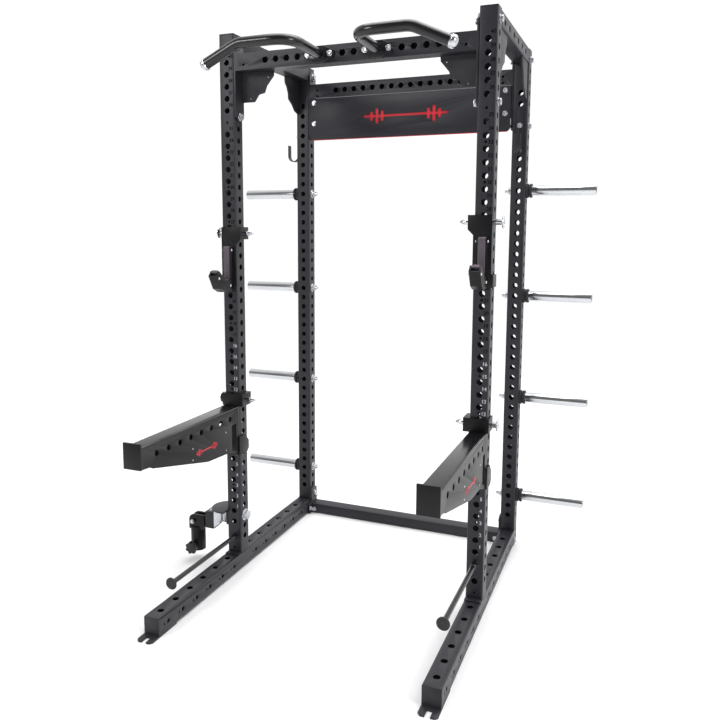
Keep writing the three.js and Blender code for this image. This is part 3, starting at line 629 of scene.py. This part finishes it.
class CAGE_OT_posts(bpy.types.Operator):
    """Models the four drilled posts with their numbers and foot plates"""

    bl_idname = "cage.posts"
    bl_label = "Posts"

    def execute(self, context):
        sizes = context.scene.cage_sizes
        for side, _ in SIDES:
            for end in ENDS:
                self.post(side, end, sizes)
        return {"FINISHED"}

    def post(self, side, end, sizes):
        node = f"{side}_{end}_post"
        low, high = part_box(node)
        x, y = middle(node).x, middle(node).y
        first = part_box("left_base_beam")[1].z + FIRST_HOLE
        length = high.x - low.x + OVERRUN
        step = (0, 0, sizes.pitch)
        tube = square_tube(f"{node}_tube", low, high, Z)
        cut(tube, [hole_row((x, y, first), X, length, sizes.hole, step, SIDE_HOLES)])
        if end == "rear":
            cut(tube, [hole_row((x, y, first), Y, length, sizes.hole, step, REAR_HOLES)])
        else:
            one = first + HOLE_ONE
            cut(tube, [
                hole_row((x, y, one), Y, length, sizes.hole, step, FRONT_HOLES),
                hole_row((x, y, one + (FRONT_HOLES + 1) * sizes.pitch), Y, length, sizes.hole,
                         step, TOP_HOLES),
                rod((x, y, one - sizes.pitch), Y, length, sizes.hole),
                rod((x, y, first), Y, length, sizes.hole),
            ])
            cut(tube, [
                rod((x, y, one + FRONT_HOLES * sizes.pitch), Y, length, sizes.small_hole, 20),
                rod((x, y, first - 50 * MM), Y, length, sizes.small_hole, 20),
                hole_row((x, y, one + 2.5 * sizes.pitch), Y, length, sizes.small_hole,
                         (0, 0, 3 * sizes.pitch), SMALL_HOLES),
            ])
            self.numbers(node, x, low.y, one, sizes)
        finish(tube, "frame", "frame_paint", powder_coat(), node)

        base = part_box(f"{side}_base_beam")[1].z
        reach = 26 * MM if end == "front" else 0
        foot = block(f"{node}_foot", (low.x, low.y - reach, base + 0.2 * MM),
                     (high.x, high.y + reach, base + 5 * MM))
        round_edges(foot, 1.4 * MM, 2)
        finish(foot, "frame", "frame_paint", powder_coat())

    def numbers(self, node, x, front, one, sizes):
        """Hole numbers, one marking in two colours: pale below as painted floor light, dark above
        as painted shade.
        """
        for name, numbers, paint in (
            # low numbers get the painted floor light, high numbers the painted shade
            ("low", range(1, 17), pale_cut()),
            ("high", range(17, 41), dark_cut()),
        ):
            self.number_run(f"{node}_{name}_numbers", numbers, paint, x, front, one, sizes)

    def number_run(self, name, numbers, paint, x, front, one, sizes):
        digits = []
        for number in numbers:
            z = one + (number - 0.5) * sizes.pitch + (sizes.pitch if number > FRONT_HOLES else 0)
            settle()
            bpy.ops.object.text_add(
                location=(x + 19 * MM, front - 0.05 * MM, z - sizes.digit / 2), rotation=TURN[Y])
            text = bpy.context.object
            text.data.body = str(number)
            text.data.size = sizes.digit * 1.35
            text.data.align_x = "CENTER"
            text.data.extrude = 0.08 * MM
            text.data.offset = 0.5 * MM
            bpy.ops.object.convert(target="MESH")
            digits.append(fix_place(bpy.context.object))
        finish(weld(name, *digits), "frame", "frame_paint", paint)


class CAGE_OT_post_caps(bpy.types.Operator):
    """Models the plastic caps on the posts"""

    bl_idname = "cage.post_caps"
    bl_label = "Post caps"

    def execute(self, context):
        for side, _ in SIDES:
            for end in ENDS:
                node = f"{side}_{end}_cap"
                low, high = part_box(node)
                cap = block(f"{node}_moulding", (low.x, low.y, high.z - 5 * MM), high)
                choose(cap, "FACE", lambda face: face.normal.z > 0.9)
                bpy.ops.mesh.inset(thickness=9 * MM, depth=0)
                bpy.ops.transform.translate(value=(0, 0, -1.2 * MM))
                choose(cap, "EDGE", lambda edge: along(edge, Z) and edge.calc_length() > 4 * MM)
                bpy.ops.mesh.bevel(offset=5 * MM, segments=4, affect="EDGES")
                settle()
                round_edges(cap, 1.2 * MM, 3)
                finish(cap, "frame", "black_plastic", black_plastic(), node)
        return {"FINISHED"}


class CAGE_OT_beams(bpy.types.Operator):
    """Finishes the base beams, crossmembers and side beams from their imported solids"""

    bl_idname = "cage.beams"
    bl_label = "Beams"

    def execute(self, context):
        sizes = context.scene.cage_sizes
        for side, _ in SIDES:
            self.base_beam(f"{side}_base_beam", sizes)
            self.beam(f"{side}_side_beam", Y, sizes)
        self.beam("front_crossmember", X, sizes, (479, (-12,)))
        self.beam("rear_crossmember", X, sizes, (478, (4, -25)))
        self.beam("lower_crossmember", X, sizes)
        return {"FINISHED"}

    def soften(self, piece, axis, sizes):
        """Rounds the tube's long corners, then every other edge."""
        points = [v.co for v in piece.data.vertices]
        limits = [(min(p[n] for p in points), max(p[n] for p in points)) for n in (X, Y, Z)]

        def corner(edge):
            if not along(edge, axis) or edge.calc_length() < 0.25:
                return False
            place = edge.verts[0].co
            others = [n for n in (X, Y, Z) if n != axis]
            near = [min(abs(place[n] - limits[n][0]), abs(place[n] - limits[n][1])) for n in others]
            return sum(distance < 0.5 * MM for distance in near) >= 1

        choose(piece, "EDGE", corner)
        bpy.ops.mesh.bevel(
            offset=0.7 * sizes.corner, segments=3, affect="EDGES", clamp_overlap=True)
        settle()
        return round_edges(piece, 0.6 * sizes.edge, 2, 40)

    def beam(self, node, axis, sizes, small=None):
        """Finishes one beam; small is how far out its small holes are, and their heights, in mm."""
        piece = from_frame(node, f"{node}_weldment")
        if small:
            reach, heights = small
            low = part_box(node)[0]
            z0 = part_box("front_crossmember")[1].z - WEB_HOLE_DROP
            cut(piece, [
                rod((sign * reach * MM, low.y, z0 + drop * MM), Y, 40 * MM, sizes.small_hole, 20)
                for sign in (-1, 1) for drop in heights])
        self.soften(piece, axis, sizes)
        finish(piece, "frame", "frame_paint", powder_coat(), node)

    def base_beam(self, node, sizes):
        piece = from_frame(node, f"{node}_weldment")
        low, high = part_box(node)
        y0 = middle("left_front_post").y
        x = middle(node).x
        z = high.z - HALF_TUBE
        length = high.x - low.x + OVERRUN
        rows = []
        for start in (y0 - BASE_HOLES * BASE_PITCH, y0 + BASE_PITCH):
            for before, diameter in ((0, 18), (28, 9)):
                rows.append(hole_row((x, start - before * MM, z), X, length, diameter * MM,
                                     (0, BASE_PITCH, 0), BASE_HOLES))
        cut(piece, rows)
        self.soften(piece, Y, sizes)
        finish(piece, "frame", "frame_paint", powder_coat(), node)


class CAGE_OT_name_plate(bpy.types.Operator):
    """Models the name plate with a barbell motif cut through to its red backing"""

    bl_idname = "cage.name_plate"
    bl_label = "Name plate"

    def execute(self, context):
        sizes = context.scene.cage_sizes
        low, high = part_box("name_plate")
        plate = from_frame("name_plate", "name_plate_panel")
        z = (low.z + high.z) / 2
        motif = [block("bar", (-0.22, low.y - 0.01, z - 6 * MM), (0.22, high.y + 0.01, z + 6 * MM))]
        for distance, height in ((0.12, 50), (0.148, 76), (0.176, 44)):
            for sign in (-1, 1):
                motif.append(block(
                    "weight", (sign * distance - 8 * MM, low.y - 0.012, z - height / 2 * MM),
                    (sign * distance + 8 * MM, high.y + 0.012, z + height / 2 * MM)))
        for cutter in motif:
            cut(plate, [cutter])
        round_edges(plate, 0.7 * sizes.edge, 2, 40)
        finish(plate, "frame", "frame_paint", powder_coat(), "name_plate")
        backing = from_frame("name_plate_backing", "name_plate_red_panel")
        round_edges(backing, 0.5 * sizes.edge, 2, 40)
        finish(backing, "frame", "red_paint", red_coat(), "name_plate_backing")
        return {"FINISHED"}


class CAGE_OT_handles(bpy.types.Operator):
    """Models the pull-up handles, their flanges and their chrome end caps"""

    bl_idname = "cage.handles"
    bl_label = "Pull-up handles"

    radius: FloatProperty(
        name="Radius", description="Radius of the grip tube", default=21 * MM, unit="LENGTH")

    def execute(self, context):
        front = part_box("front_crossmember")[0].y
        y0 = middle("left_front_post").y
        for side, sign in SIDES:
            node = f"{side}_pullup_handle"
            z0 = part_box(node)[1].z - HANDLE_DROP
            line = y0 - HANDLE_REACH

            def place(u, y, z):
                return Vector((sign * u * MM, y, z0 + z * MM))

            def bend(a, b, c, steps):
                return [a.lerp(b, t / steps).lerp(b.lerp(c, t / steps), t / steps)
                        for t in range(steps + 1)]

            points = [place(HANDLE_OUT, front - 1 * MM, 0)]
            points += bend(place(HANDLE_OUT, line + 0.09, 5), place(HANDLE_OUT, line, 7),
                           place(215, line, 7), 14)
            points += bend(place(322, line, 7), place(347, line, 7), place(370, line, -3.5), 8)
            points.append(place(489.5, line, -58.3))
            curve = bpy.data.curves.new(f"{node}_grip", "CURVE")
            curve.dimensions = "3D"
            spline = curve.splines.new("POLY")
            spline.points.add(len(points) - 1)
            for point, co in zip(spline.points, points):
                point.co = (*co, 1)
            curve.bevel_depth = self.radius
            curve.bevel_resolution = 6
            curve.use_fill_caps = True
            grip = bpy.data.objects.new(f"{node}_grip", curve)
            context.scene.collection.objects.link(grip)
            hold(grip)
            bpy.ops.object.convert(target="MESH")
            grip = context.object

            outline = [(66, 9), (58, 16), (18, 33), (-18, 33), (-58, 16), (-66, 9)]
            outline += [(u, -v) for u, v in reversed(outline)]
            mesh = bpy.data.meshes.new(f"{node}_flange")
            corners = [place(HANDLE_OUT + u, front - 0.3 * MM, v) for u, v in outline]
            mesh.from_pydata(corners, [], [range(len(corners))])
            flange = bpy.data.objects.new(f"{node}_flange", mesh)
            context.scene.collection.objects.link(flange)
            choose(flange, "FACE", lambda face: True)
            bpy.ops.mesh.extrude_region_move(TRANSFORM_OT_translate={"value": (0, -FLANGE, 0)})
            bpy.ops.mesh.select_all(action="SELECT")
            bpy.ops.mesh.normals_make_consistent(inside=False)
            settle()
            round_edges(flange, 1.2 * MM, 3, 20)
            settle()
            bpy.ops.mesh.primitive_torus_add(
                location=place(HANDLE_OUT, front - 8.5 * MM, 0), rotation=TURN[Y],
                major_radius=self.radius + 0.5 * MM, minor_radius=3 * MM,
                major_segments=36, minor_segments=8)
            bead = fix_place(context.object)
            handle = weld(f"{node}_tube", grip, flange, bead)
            finish(handle, "frame", "frame_paint", gloss_black(), node)

            heading = (points[-1] - points[-2]).normalized()
            cap = turned(f"{side}_cap_dome", [
                (0, 0), (0, 0.0235), (1 * MM, 0.0245), (5 * MM, 0.0248), (6 * MM, 0.0238),
                (8 * MM, 0.0238),
                (9 * MM, 0.0246), (14 * MM, 0.0236), (19 * MM, 0.02), (23 * MM, 0.014),
                (25.5 * MM, 0.007), (26 * MM, 0)], Z, (0, 0, 0), 40)
            cap.data.transform(facing(points[-1] + heading * 0.8 * MM, heading))
            finish(cap, "frame", "chrome", chrome_plate(), f"{side}_handle_cap")
        return {"FINISHED"}


class CAGE_OT_pull_pins(bpy.types.Operator):
    """Models the four chrome pull pins with their knurled discs"""

    bl_idname = "cage.pull_pins"
    bl_label = "Pull pins"

    def execute(self, context):
        for kind in ("cup", "arm"):
            for side, sign in SIDES:
                node = f"{side}_{kind}_pin"
                low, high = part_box(node)
                centre = middle(node)
                tip = high.x if sign < 0 else low.x
                end = low.x if sign < 0 else high.x
                disc = (high.z - low.z) / 2 / MM
                profile = [(0, 0), (0.6, 3), (2, 5), (8, 7.4), (18, 10.4), (25, 11.8), (28, 12),
                           (60, 12),
                           (60.5, 11.6), (62, 11.6), (62.5, 12), (167, 12), (167.4, disc - 3),
                           (168.2, disc - 0.7), (169.4, disc), (171.4, disc), (172.4, disc - 0.8),
                           (173, disc - 3), (173, 13), (171.6, 11.5), (171.6, 0)]
                reach = abs(end - tip)
                rows = [(sign * min(d * MM, reach), r * MM) for d, r in profile]
                pin = turned(f"{node}_turned", rows, X, (tip, centre.y, centre.z), 48)
                finish(pin, node, "chrome", chrome_plate(), node, smooth=35)
        return {"FINISHED"}


class CAGE_OT_j_cups(bpy.types.Operator):
    """Finishes the J-cups, their liners and their screws"""

    bl_idname = "cage.j_cups"
    bl_label = "J-cups"

    def execute(self, context):
        sizes = context.scene.cage_sizes
        for side, _ in SIDES:
            body = f"{side}_cup"
            cup = from_frame(f"{side}_j_cup", f"{side}_j_cup_steel")
            round_edges(cup, sizes.edge, 3, 20)
            finish(cup, body, "frame_paint", satin_black(), f"{side}_j_cup")
            for part in ("back", "lip"):
                node = f"{side}_cup_{part}_liner"
                strip = from_frame(node, f"{node}_strip")
                round_edges(strip, 1.6 * MM, 3, 15)
                finish(strip, body, "liner_plastic", cup_liner(), node)
            z = middle(f"{side}_cup_pin").z
            x = middle(f"{side}_front_post").x
            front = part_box(f"{side}_front_post")[0].y
            cheek = 22.1 * MM
            places = []
            for forward, drop in ((20, -73), (125, -192), (33, -228)):
                for way in (-1, 1):
                    at = (x + way * cheek, front - forward * MM, z + drop * MM)
                    places.append((at, (way, 0, 0)))
            bolt_group("dome_screw", f"{side}_cup_screws", body, places, 0.9)
        return {"FINISHED"}


class CAGE_OT_spotter_arms(bpy.types.Operator):
    """Finishes the spotter arms with their pads, side badges and screws"""

    bl_idname = "cage.spotter_arms"
    bl_label = "Spotter arms"

    def execute(self, context):
        sizes = context.scene.cage_sizes
        y0 = middle("left_front_post").y
        for side, sign in SIDES:
            body = f"{side}_arm"
            arm = from_frame(f"{side}_spotter_arm", f"{side}_arm_steel")
            round_edges(arm, sizes.edge, 3, 25)
            finish(arm, body, "frame_paint", satin_black(), f"{side}_spotter_arm")
            pad = from_frame(f"{side}_arm_pad", f"{side}_arm_pad_strip")
            round_edges(pad, 1.5 * MM, 3, 15)
            finish(pad, body, "black_plastic", gloss_pad(), f"{side}_arm_pad")

            z = middle(f"{side}_arm_pin").z
            x = middle(f"{side}_front_post").x
            screws = []
            for way in (-1, 1):
                face = x + way * HALF_TUBE
                for forward, drop in ((150, -120), (150, -200), (405, -120), (405, -168)):
                    screws.append(((face, y0 - forward * MM, z + drop * MM), (way, 0, 0)))
                y = y0 - MOTIF_REACH
                parts = [self.bar(face, way, y, z - 0.15, 160, 5)]
                for distance, height in ((45, 20), (57, 30), (69, 18)):
                    for end in (-1, 1):
                        spot = y + end * distance * MM
                        parts.append(self.bar(face, way, spot, z - 0.15, 7, height))
                motif = weld(f"{side}_arm_motif_{'inner' if way == -sign else 'outer'}", *parts)
                finish(motif, body, "red_paint", red_coat())
            bolt_group("dome_screw", f"{side}_arm_screws", body, screws, 0.5)
        return {"FINISHED"}

    def bar(self, face, way, y, z, width, height):
        """One raised bar of the motif on a side plate."""
        low = (min(face, face + way * 0.5 * MM), y - width / 2 * MM, z - height / 2 * MM)
        high = (max(face, face + way * 0.5 * MM), y + width / 2 * MM, z + height / 2 * MM)
        piece = block("motif_bar", low, high)
        choose(piece, "EDGE", lambda edge: along(edge, X))
        bpy.ops.mesh.bevel(offset=1.2 * MM, segments=3, affect="EDGES")
        settle()
        return piece


class CAGE_OT_storage_pegs(bpy.types.Operator):
    """Models the storage pegs, their rubber stops and their nuts"""

    bl_idname = "cage.storage_pegs"
    bl_label = "Storage pegs"

    def execute(self, context):
        nuts = []
        for side, sign in SIDES:
            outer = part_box(f"{side}_rear_post")[1 if sign > 0 else 0].x
            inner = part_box(f"{side}_rear_post")[0 if sign > 0 else 1].x
            y = middle(f"{side}_rear_post").y
            for number in range(1, 5):
                node = f"{side}_storage_peg_{number}"
                low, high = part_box(node)
                z = middle(node).z
                tip = high.x if sign > 0 else low.x
                length = abs(tip - outer)
                profile = [(0.3 * MM, 0), (0.3 * MM, 24.6 * MM), (length - 2 * MM, 24.6 * MM),
                           (length - 0.6 * MM, 24 * MM), (length, 23 * MM), (length, 21.6 * MM),
                           (length - 0.8 * MM, 21 * MM), (length - 30 * MM, 21 * MM),
                           (length - 30 * MM, 0)]
                rows = [(sign * d, r) for d, r in profile]
                peg = turned(f"{node}_tube", rows, X, (outer, y, z), 48)
                finish(peg, "frame", "chrome", chrome_plate(), node, smooth=35)
                stop_node = f"{side}_peg_stop_{number}"
                ring = [(0.4, 25.2), (0.4, 32), (1.4, 33.8), (9, 33.8), (11, 32), (12, 28.5),
                        (15, 28.5), (16, 31), (17.4, 33), (26, 33), (28, 31.4), (28, 25.2),
                        (0.4, 25.2)]
                stop = turned(f"{stop_node}_ring", [(sign * d * MM, r * MM) for d, r in ring],
                              X, (outer, y, z), 40)
                finish(stop, "frame", "rubber", black_rubber(), stop_node, smooth=35)
                stud = turned("stud", [
                    (0, 0), (0, 10 * MM), (30 * MM, 10 * MM), (31 * MM, 9 * MM), (31 * MM, 0),
                ], Z, (0, 0, 0), 20)
                bolt = copied(context.scene.objects["hex_bolt"], "peg_nut",
                              facing((inner, y, z), (-sign, 0, 0)) @ Matrix.Scale(1.3, 4))
                stud.data.transform(facing((inner, y, z), (-sign, 0, 0)))
                nuts += [bolt, stud]
        finish(weld("peg_nuts", *nuts), "frame", "zinc", zinc_plate())
        return {"FINISHED"}


class CAGE_OT_band_pegs(bpy.types.Operator):
    """Models the band pegs with their end discs"""

    bl_idname = "cage.band_pegs"
    bl_label = "Band pegs"

    def execute(self, context):
        for side, _ in SIDES:
            node = f"{side}_band_peg"
            centre = middle(node)
            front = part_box(f"{side}_front_post")[0].y
            reach = (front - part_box(node)[0].y) / MM
            profile = [(-18, 0), (-18, 10), (0.4, 10), (0.4, 17), (4.4, 17), (6, 15.4), (6, 12.4),
                       (7, 12), (34, 12), (37.6, 10.4), (38, 10)]
            rows = [(-d * MM, r * MM) for d, r in profile]
            rows += [(-(reach + d) * MM, r * MM) for d, r in (
                (-7, 10), (-6.4, 11), (-6, 23), (-5.2, 24.6), (-3.6, 25), (-2, 25), (-0.8, 24.2),
                (-0.2, 22.4), (-0.2, 19), (-1.2, 18), (-1.2, 13), (-0.2, 12), (-0.2, 8),
                (-1, 7), (-1, 0))]
            peg = turned(f"{node}_rod", rows, Y, (centre.x, front, centre.z), 44)
            finish(peg, "frame", "frame_paint", gloss_black(), node, smooth=35)
        return {"FINISHED"}


class CAGE_OT_hooks(bpy.types.Operator):
    """Finishes the accessory hooks"""

    bl_idname = "cage.hooks"
    bl_label = "Accessory hooks"

    def execute(self, context):
        sizes = context.scene.cage_sizes
        for side, _ in SIDES:
            node = f"{side}_accessory_hook"
            hook = from_frame(node, f"{node}_strip")
            round_edges(hook, 1.2 * sizes.edge, 3, 40)
            finish(hook, "frame", "frame_paint", powder_coat(), node)
        return {"FINISHED"}


class CAGE_OT_landmine(bpy.types.Operator):
    """Finishes the landmine's mount, swivel, clevis, sleeve and knob"""

    bl_idname = "cage.landmine"
    bl_label = "Landmine"

    def execute(self, context):
        sizes = context.scene.cage_sizes
        for node, body, slot, material in (
            ("landmine_mount", "frame", "frame_paint", powder_coat()),
            ("landmine_swivel", "landmine_swivel", "zinc", zinc_plate()),
            ("landmine_clevis", "landmine_swivel", "black_plastic", black_plastic()),
            ("landmine_sleeve", "landmine_sleeve", "frame_paint", satin_black()),
            ("landmine_knob", "landmine_knob", "black_plastic", black_plastic()),
        ):
            piece = from_frame(node, f"{node}_finished")
            round_edges(piece, 1.3 * sizes.edge, 3, 35)
            finish(piece, body, slot, material, node, smooth=40)
        low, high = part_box("landmine_clevis")
        tilt = next(j for j in frame["joints"] if j["name"] == "landmine_tilt")["pos_m"]
        half = (high.y - low.y) / 2
        bolt_group("hex_bolt", "landmine_tilt_bolts", "landmine_swivel", [
            ((tilt[0], tilt[1] - half, tilt[2]), (0, -1, 0)),
            ((tilt[0], tilt[1] + half, tilt[2]), (0, 1, 0)),
        ], 0.62)
        bolt_group("hex_bolt", "landmine_block_bolts", "landmine_swivel", [
            ((tilt[0] + 0.095, tilt[1] - 12 * MM, high.z), (0, 0, 1)),
            ((tilt[0] + 0.095, tilt[1] + 14 * MM, high.z), (0, 0, 1)),
        ], 0.5)
        return {"FINISHED"}


class CAGE_OT_fasteners(bpy.types.Operator):
    """Adds the bolts, nuts and screws that hold the frame"""

    bl_idname = "cage.fasteners"
    bl_label = "Fasteners"

    def execute(self, context):
        y0, y1 = middle("left_front_post").y, middle("left_rear_post").y
        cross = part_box("front_crossmember")
        hook_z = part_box("left_accessory_hook")[1].z - HOOK_BOLT_DROP
        top_z = hook_z + 6 * context.scene.cage_sizes.pitch
        big, small = [], []
        for side, sign in SIDES:
            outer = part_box(f"{side}_front_post")[1 if sign > 0 else 0].x
            flange = cross[1 if sign > 0 else 0].x - sign * FLANGE
            for y in (y0, y1):
                for z in (hook_z, top_z):
                    big.append(((flange, y, z), (-sign, 0, 0)))
                    if not (sign < 0 and y == y1 and z == hook_z):
                        big.append(((outer, y, z), (sign, 0, 0)))
            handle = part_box(f"{side}_pullup_handle")[1].z - HANDLE_DROP
            for u in (76, 174):
                small.append(((sign * u * MM, cross[0].y - 8.3 * MM, handle), (0, -1, 0)))
            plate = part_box("name_plate")
            for drop in (21, 126):
                small.append(((sign * 493 * MM, plate[0].y, plate[1].z - drop * MM), (0, -1, 0)))
            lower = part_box("lower_crossmember")
            inner = lower[1 if sign > 0 else 0].x - sign * FLANGE
            small.append(((inner, y1 - 53 * MM, 29 * MM), (-sign, 0, 0)))
            small.append(((inner - sign * 16 * MM, lower[0].y + 28 * MM, 22 * MM), (0, -1, 0)))
            small.append(((outer, y1 - 24 * MM, 26 * MM), (sign, 0, 0)))
            small.append(((inner, y1, 108 * MM), (-sign, 0, 0)))
            small.append(((inner, y1 + 22 * MM, 79 * MM), (-sign, 0, 0)))
        landmine_z = middle("left_storage_peg_1").z
        inner_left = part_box("left_front_post")[1].x
        right_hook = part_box("right_accessory_hook")
        left_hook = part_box("left_accessory_hook")
        hooks = [
            ((left_hook[1].x - 5 * MM, middle("left_accessory_hook").y, hook_z), (-1, 0, 0)),
            ((middle("right_accessory_hook").x, right_hook[1].y - 5 * MM, hook_z), (0, -1, 0)),
        ]
        bolt_group("hex_bolt", "frame_bolts", "frame", big, 1.0)
        bolt_group("hex_bolt", "flange_bolts", "frame", small, 0.72)
        bolt_group("hex_bolt", "hook_bolts", "frame", hooks, 0.7)
        bolt_group("hex_bolt", "landmine_bolt", "frame",
                   [((inner_left, y0, landmine_z), (1, 0, 0))], 1.6)
        webs = []
        for sign in (-1, 1):
            for u, z in ((391, 2219), (477, 2134)):
                webs.append(((sign * u * MM, y0 + 23 * MM, z * MM), (0, -1, 0)))
        bolt_group("dome_screw", "web_screws", "frame", webs, 0.45)
        return {"FINISHED"}


class CAGE_OT_fastener_patterns(bpy.types.Operator):
    """Models the bolt and the screw that the others are copied from"""

    bl_idname = "cage.fastener_patterns"
    bl_label = "Fastener patterns"

    remove: StringProperty(
        name="Remove", description="Set to yes to take the patterns away", default="")

    def execute(self, context):
        if self.remove:
            for name in ("hex_bolt", "dome_screw"):
                bpy.data.objects.remove(context.scene.objects[name])
            return {"FINISHED"}
        hex_bolt()
        dome_screw()
        return {"FINISHED"}


class CAGE_PT_panel(bpy.types.Panel):
    """Sizes, colours and pieces of the power cage"""

    bl_label = "Power Cage"
    bl_idname = "CAGE_PT_panel"
    bl_space_type = "VIEW_3D"
    bl_region_type = "UI"
    bl_category = "Power Cage"

    def draw(self, context):
        for title, group in (
            ("Finish", context.scene.cage_finish),
            ("Sizes", context.scene.cage_sizes),
            ("Stage", context.scene.cage_stage),
        ):
            box = self.layout.box()
            box.label(text=title)
            for name in group.__annotations__:
                box.prop(group, name)
        column = self.layout.column()
        for operator in OPERATORS:
            column.operator(operator.bl_idname)


OPERATORS = (
    CAGE_OT_stage,
    CAGE_OT_fastener_patterns,
    CAGE_OT_posts,
    CAGE_OT_post_caps,
    CAGE_OT_beams,
    CAGE_OT_name_plate,
    CAGE_OT_handles,
    CAGE_OT_pull_pins,
    CAGE_OT_j_cups,
    CAGE_OT_spotter_arms,
    CAGE_OT_storage_pegs,
    CAGE_OT_band_pegs,
    CAGE_OT_hooks,
    CAGE_OT_landmine,
    CAGE_OT_fasteners,
)
GROUPS = (PowerCageFinish, PowerCageSizes, PowerCageStage)


def register():
    for item in (*GROUPS, *OPERATORS, CAGE_PT_panel):
        bpy.utils.register_class(item)
    bpy.types.Scene.cage_finish = PointerProperty(type=PowerCageFinish)
    bpy.types.Scene.cage_sizes = PointerProperty(type=PowerCageSizes)
    bpy.types.Scene.cage_stage = PointerProperty(type=PowerCageStage)


def unregister():
    del bpy.types.Scene.cage_stage
    del bpy.types.Scene.cage_sizes
    del bpy.types.Scene.cage_finish
    for item in reversed((*GROUPS, *OPERATORS, CAGE_PT_panel)):
        bpy.utils.unregister_class(item)


def main():
    register()
    for operator in OPERATORS:
        getattr(bpy.ops.cage, operator.bl_idname.split(".")[1])()
    bpy.ops.cage.fastener_patterns(remove="yes")
    settle()


if __name__ == "__main__":
    main()
